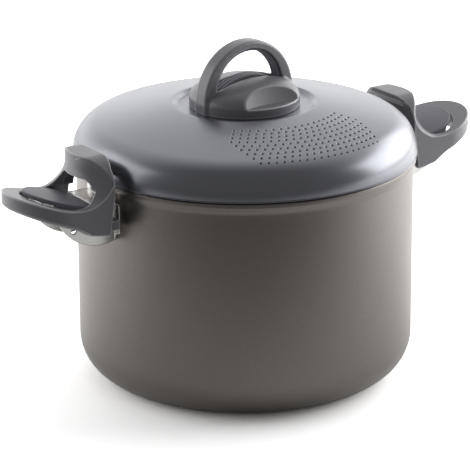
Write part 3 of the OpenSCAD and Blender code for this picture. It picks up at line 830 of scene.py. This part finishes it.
def mirrored(piece, name):
    """The same piece on the left side: its mesh turned over through X = 0."""
    mesh = piece.data.copy()
    mesh.name = name
    mesh.transform(Matrix.Scale(-1, 4, (1, 0, 0)))
    mesh.flip_normals()
    twin = bpy.data.objects.new(name, mesh)
    bpy.context.scene.collection.objects.link(twin)
    return twin


def fit_pair(piece, part, body):
    """Fits a right-hand piece and its left-hand twin to their bodies and CAD nodes."""
    for side in ("left", "right"):
        fitted = mirrored(piece, "left_" + part + "_made") if side == "left" else piece
        fitted.name = side + "_" + part + "_made"
        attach(fitted, body.format(side=side))
        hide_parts(side + "_" + part)


bracket = carved("bracket", bracket_shape, (118, -PLATE_HALF, RIM - 40),
                 (TONGUE_END, PLATE_HALF, RIM - 1), 0.45, polished)
fit_pair(bracket, "bracket", "pot")

# ==== Rivets ================================================================
# Three solid aluminium rivets hold each bracket to the wall, with a low round
# head outside and a flatter one inside the pot. Hammered, so slightly uneven.

RIVET_SPOTS = ((-9, -18), (9, -18), (0, -31))
alloy, tree, shader = finish_of("rivet_aluminium", "#c9c8c4", 1.0, 0.33)
at = add(tree, "ShaderNodeTexCoord").outputs["Object"]
dents = add(tree, "ShaderNodeTexNoise", {"Vector": at, "Scale": 1 / (1.5 * MM), "Detail": 2.0})
dull = add(tree, "ShaderNodeMapRange", {0: dents.outputs[0], 3: 0.26, 4: 0.42}).outputs[0]
tree.links.new(dull, shader.inputs["Roughness"])
bump = add(tree, "ShaderNodeBump",
           {"Strength": 0.2, "Distance": 0.1 * MM, "Height": dents.outputs[0]})
tree.links.new(bump.outputs[0], shader.inputs["Normal"])

# The rivet stands on Z with z = 0 at the bracket's outer face
grip_length = SHEET + WALL
rivet = turned("rivet", filleted(
    [(0, -grip_length - 1.3, 0), (4.4, -grip_length - 1.2, 1.0), (5.0, -grip_length + 0.05, 0.2),
     (2.5, -grip_length + 0.05, 0), (2.5, -0.05, 0), (4.5, -0.05, 0.3), (3.6, 1.5, 1.4), (0, 1.9, 0)],
    closed=False, longest=3.0), alloy, steps=32)

grown, given = nodes_for("wall_rivets", {"Rivet": "Object", "Finish": "Material"})
spot = add(grown, "GeometryNodeInputPosition").outputs[0]
outward = add(grown, "ShaderNodeVectorMath", {0: spot, 1: (1.0, 1.0, 0.0)},
              operation="MULTIPLY").outputs[0]
turn = add(grown, "FunctionNodeAlignRotationToVector", {"Vector": outward}, axis="Z").outputs[0]
shown = add(grown, "GeometryNodeObjectInfo", {"Object": given["Rivet"]}).outputs["Geometry"]
set_in = add(grown, "GeometryNodeInstanceOnPoints",
             {"Points": given["Geometry"], "Instance": shown, "Rotation": turn}).outputs[0]
set_in = add(grown, "GeometryNodeRealizeInstances", {0: set_in}).outputs[0]
set_in = add(grown, "GeometryNodeSetMaterial",
             {"Geometry": set_in, "Material": given["Finish"]}).outputs[0]
add(grown, "NodeGroupOutput", {0: set_in})

spots = bpy.data.meshes.new("rivet_spots")
outer = POT_R + SHEET
spots.from_pydata([(math.sqrt(outer ** 2 - y ** 2) * MM, y * MM, (RIM + w) * MM)
                   for y, w in RIVET_SPOTS], [], [])
rivets = bpy.data.objects.new("rivets", spots)
bpy.context.scene.collection.objects.link(rivets)
grow(rivets, grown, {"Rivet": rivet, "Finish": alloy})
bpy.data.objects.remove(rivet)
fit_pair(rivets, "rivets", "pot")

# ==== Handles ===============================================================
# Each handle is one moulding of the knob's plastic: a ring to hold, and a hood that
# rises at the lid's shoulder with an arched window under it. It turns on a pin
# through its side walls, and its lip then reaches over the lid.

TIP_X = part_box("right_handle")[1].x / MM + 2  # the tip stands a little past the CAD's
HAND_HALF = 33.0
TIP_TOP = 4.0
TIP_BOTTOM = -7.0
PLATFORM_X, PLATFORM_Z = 157.0, -9.3
HEEL_X, HEEL_Z = 136.5, -30.5
HOOD_TOP = 24.3
HOOD_END_R = 21.0
HOOD_SIDE_X = 132.0
HOOD_BULGE, BULGE_HALF = 13.0, 31.0
HOOD_LEAN, LEAN_TOP = 0.05, 21.0
SWEEP_R = 24.0
INNER_R = 130.0
INNER_X = 130.5
INNER_SLOPE = 0.15
LIP_R = 127.5
LIP_Z, LIP_RISE = 19.5, 2.5
LIP_HALF, LIP_FADE = 30.0, 12.0
WINDOW_HALF, WINDOW_TOP, WINDOW_R = 22.5, 8.0, 12.0
HOLLOW_HALF, HOLLOW_TOP = 28.0, -6.0
OPENING_X, OPENING_R = 156.7, 28.0
BOSS_Y, BOSS_R, BOSS_T = 25.2, 6.5, 4.0
STOP_AT = (132.0, 24.5, -24.5)
STOP_HALF = (7.0, 4.0, 3.5)
PIN_R = 2.5
CAP_R = 4.5
CAP_Y = 30.0


def handle_shape(x, y, z):
    """Ring and hood, hollowed out, with the lip, the pivot's bosses and bore, and the stops."""
    w = z - RIM
    side = np.abs(y)
    plan = np.hypot(np.maximum(x - TIP_X + HAND_HALF, 0), y) - HAND_HALF
    fall = (TIP_TOP - PLATFORM_Z) / (TIP_X - PLATFORM_X)
    slope = (w - PLATFORM_Z - fall * (x - PLATFORM_X)) / math.hypot(1, fall)
    top = either(slope, w - PLATFORM_Z, 6.0)
    rise = (TIP_BOTTOM - HEEL_Z) / (TIP_X - HEEL_X)
    under = (HEEL_Z + rise * (x - HEEL_X) - w) / math.hypot(1, rise)
    under = both(under, HEEL_Z - w, 6.0)
    grip = both(both(plan, top, 1.2), under, 2.2)
    bulge = HOOD_BULGE + HOOD_LEAN * (LEAN_TOP - w)
    face = x - HOOD_SIDE_X - bulge * (1 - (y / BULGE_HALF) ** 2)
    face = face / np.sqrt(1 + (2 * bulge * y / BULGE_HALF ** 2) ** 2 + HOOD_LEAN ** 2)
    hood = both(face, both(side - HAND_HALF, w - HOOD_TOP, HOOD_END_R), 1.0)
    hood = np.maximum(hood, PLATFORM_Z - 4 - w)
    body = either(hood, grip, SWEEP_R)
    body = np.maximum(body, side - HAND_HALF)
    window = both(side - WINDOW_HALF, w - WINDOW_TOP, WINDOW_R)
    hollow = both(side - HOLLOW_HALF, w - HOLLOW_TOP, 2.0)
    hollow = np.maximum(np.minimum(window, hollow), x - OPENING_X)
    opening = np.maximum(np.hypot(x - OPENING_X, y) - OPENING_R, w - 2)
    body = both(body, -np.minimum(hollow, opening), 0.9)
    reach = np.clip((w - LIP_Z + LIP_RISE) / LIP_RISE, 0, 1)
    reach = reach * np.clip((LIP_HALF - side) / LIP_FADE, 0, 1)
    back = np.maximum(INNER_X + INNER_SLOPE * np.maximum(-w, 0) - x, INNER_R - np.hypot(x, y))
    body = both(body, back - (INNER_R - LIP_R) * reach, 0.8)
    axle = np.hypot(x - PIVOT_X, w - PIVOT_Z)
    boss = np.maximum(axle - BOSS_R, np.abs(side - BOSS_Y - BOSS_T / 2) - BOSS_T / 2)
    body = either(body, boss, 0.8)
    stop = [np.abs(at - middle) - half for at, middle, half in zip((x, side, w), STOP_AT, STOP_HALF)]
    stop = np.maximum(stop[0], np.maximum(stop[1], stop[2]))
    body = either(body, both(stop, POT_R + SHEET + 0.3 - np.hypot(x, y), 0.5), 0.6)
    pin = np.maximum(axle - PIN_R, -y - HAND_HALF + 4)
    cap = np.maximum(axle - CAP_R, CAP_Y - y)
    return both(body, -np.minimum(pin, cap), 0.2)


handle = carved("handle", handle_shape, (122, -HAND_HALF, RIM + HEEL_Z),
                (TIP_X, HAND_HALF, RIM + HOOD_TOP), 0.5, plastic)
fit_pair(handle, "handle", "{side}_grip")

# ==== Thumb pads ============================================================
# A flat tongue-shaped pad lies in each ring, screwed to the bracket from below.
# It stays still while the ring tilts round it.

PAD_X, PAD_R = 156.4, 26.0
PAD_HALF = 24.6
PAD_CROWN = 0.9


def pad_shape(x, y, z):
    """A sloping tongue, round at its outer end, with a slightly crowned top."""
    w = z - RIM
    inner_end = np.maximum(np.abs(y) - PAD_HALF, x - PAD_X)
    plan = np.minimum(np.hypot(x - PAD_X, y) - PAD_R, inner_end)
    plan = both(plan, PAD_IN_X - x, 2.0)
    level = PAD_IN_Z + math.tan(PAD_SLOPE) * (x - PAD_IN_X)
    crown = PAD_CROWN * (0.5 - ((x - PAD_X) ** 2 + y ** 2) / PAD_R ** 2)
    top = (w - level - crown) * math.cos(PAD_SLOPE)
    under = (level - PAD_T / math.cos(PAD_SLOPE) - w) * math.cos(PAD_SLOPE)
    return both(both(plan, top, 1.1), under, 0.6)


pad = carved("pad", pad_shape, (PAD_IN_X, -PAD_R, RIM - 15), (PAD_X + PAD_R, PAD_R, RIM + 4),
             0.42, rubber)
fit_pair(pad, "pad", "pot")

# ==== Pad screws ============================================================
# Two short pan-head screws of plated steel go up through the tongue into each pad.
# They stand square to the pad, which slopes.

PAD_SCREWS = (150.0, 166.0)
pad_screw = screw_shape(3.0, 1.5, 2.0, 5.0, 1.7, 0.7)


def pad_screws_shape(x, y, z):
    """Both screws, each standing in the pad's own slope."""
    near = np.full(np.shape(x), 1e3)
    for at_x in PAD_SCREWS:
        foot = RIM + pad_under(at_x)
        lean_x = (x - at_x) * math.cos(PAD_SLOPE) + (z - foot) * math.sin(PAD_SLOPE)
        lean_z = (z - foot) * math.cos(PAD_SLOPE) - (x - at_x) * math.sin(PAD_SLOPE)
        near = np.minimum(near, pad_screw(lean_x, y, lean_z + SHEET + 2.1))
    return near


pad_screws = carved("pad_screws", pad_screws_shape, (146, -3.2, RIM - 18), (170, 3.2, RIM - 1),
                    0.16, plated)
fit_pair(pad_screws, "pad_screws", "pot")

# ==== Pivots ================================================================
# A steel pin through each handle's side walls runs in two flanged nylon bushes in
# the bracket's cheeks. A plastic cap closes the hole that the pin goes in by.

to_pivot = Matrix.Translation((PIVOT_X, 0, RIM + PIVOT_Z))
across = to_pivot @ Matrix.Rotation(math.radians(-90), 4, "X")
pin_low, pin_high = (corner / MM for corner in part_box("right_pivot_pin"))
pin = turned("pivot_pin", filleted(
    [(0, pin_low.y, 0), (PIN_R, pin_low.y, 0.5), (PIN_R, pin_high.y, 0.5), (0, pin_high.y, 0)],
    closed=False), plated, steps=40, place=across)
fit_pair(pin, "pivot_pin", "{side}_grip")

# Nylon, moulded: off-white and slightly see-through at its thin flange.
nylon, tree, shader = finish_of("white_nylon", "#e6e3d8", 0.0, 0.45)
shader.inputs["Subsurface Weight"].default_value = 0.15
shader.inputs["Subsurface Scale"].default_value = 1.0 * MM
at = add(tree, "ShaderNodeTexCoord").outputs["Object"]
flow = add(tree, "ShaderNodeTexNoise", {"Vector": at, "Scale": 1 / (2.5 * MM), "Detail": 2.0})
dull = add(tree, "ShaderNodeMapRange", {0: flow.outputs[0], 3: 0.38, 4: 0.52}).outputs[0]
tree.links.new(dull, shader.inputs["Roughness"])

FLANGE_R, FLANGE_T = 5.0, 1.0


def bush_shape(x, y, z):
    """A sleeve through each cheek with a flange inside it, bored for the pin."""
    out = np.hypot(x - PIVOT_X, z - RIM - PIVOT_Z)
    side = np.abs(y)
    sleeve = np.abs(side - CHEEK_Y - SHEET / 2 + FLANGE_T / 2) - SHEET / 2 - FLANGE_T / 2
    sleeve = both(out - BUSH_R, sleeve, 0.2)
    flange = both(out - FLANGE_R, np.abs(side - CHEEK_Y + FLANGE_T / 2) - FLANGE_T / 2, 0.25)
    return both(np.minimum(sleeve, flange), PIN_R + 0.05 - out, 0.2)


bushes = carved("bushes", bush_shape,
                (PIVOT_X - FLANGE_R, -CHEEK_Y - SHEET, RIM + PIVOT_Z - FLANGE_R),
                (PIVOT_X + FLANGE_R, CHEEK_Y + SHEET, RIM + PIVOT_Z + FLANGE_R), 0.2, nylon)
fit_pair(bushes, "pin_bushes", "pot")

cap = turned("pin_cap", filleted(
    [(0, CAP_Y, 0), (CAP_R, CAP_Y, 0.3), (CAP_R, HAND_HALF - 0.1, 0.6), (0, HAND_HALF + 0.1, 0)],
    closed=False, longest=2.0), plastic, steps=40, place=across)
fit_pair(cap, "pin_cap", "{side}_grip")
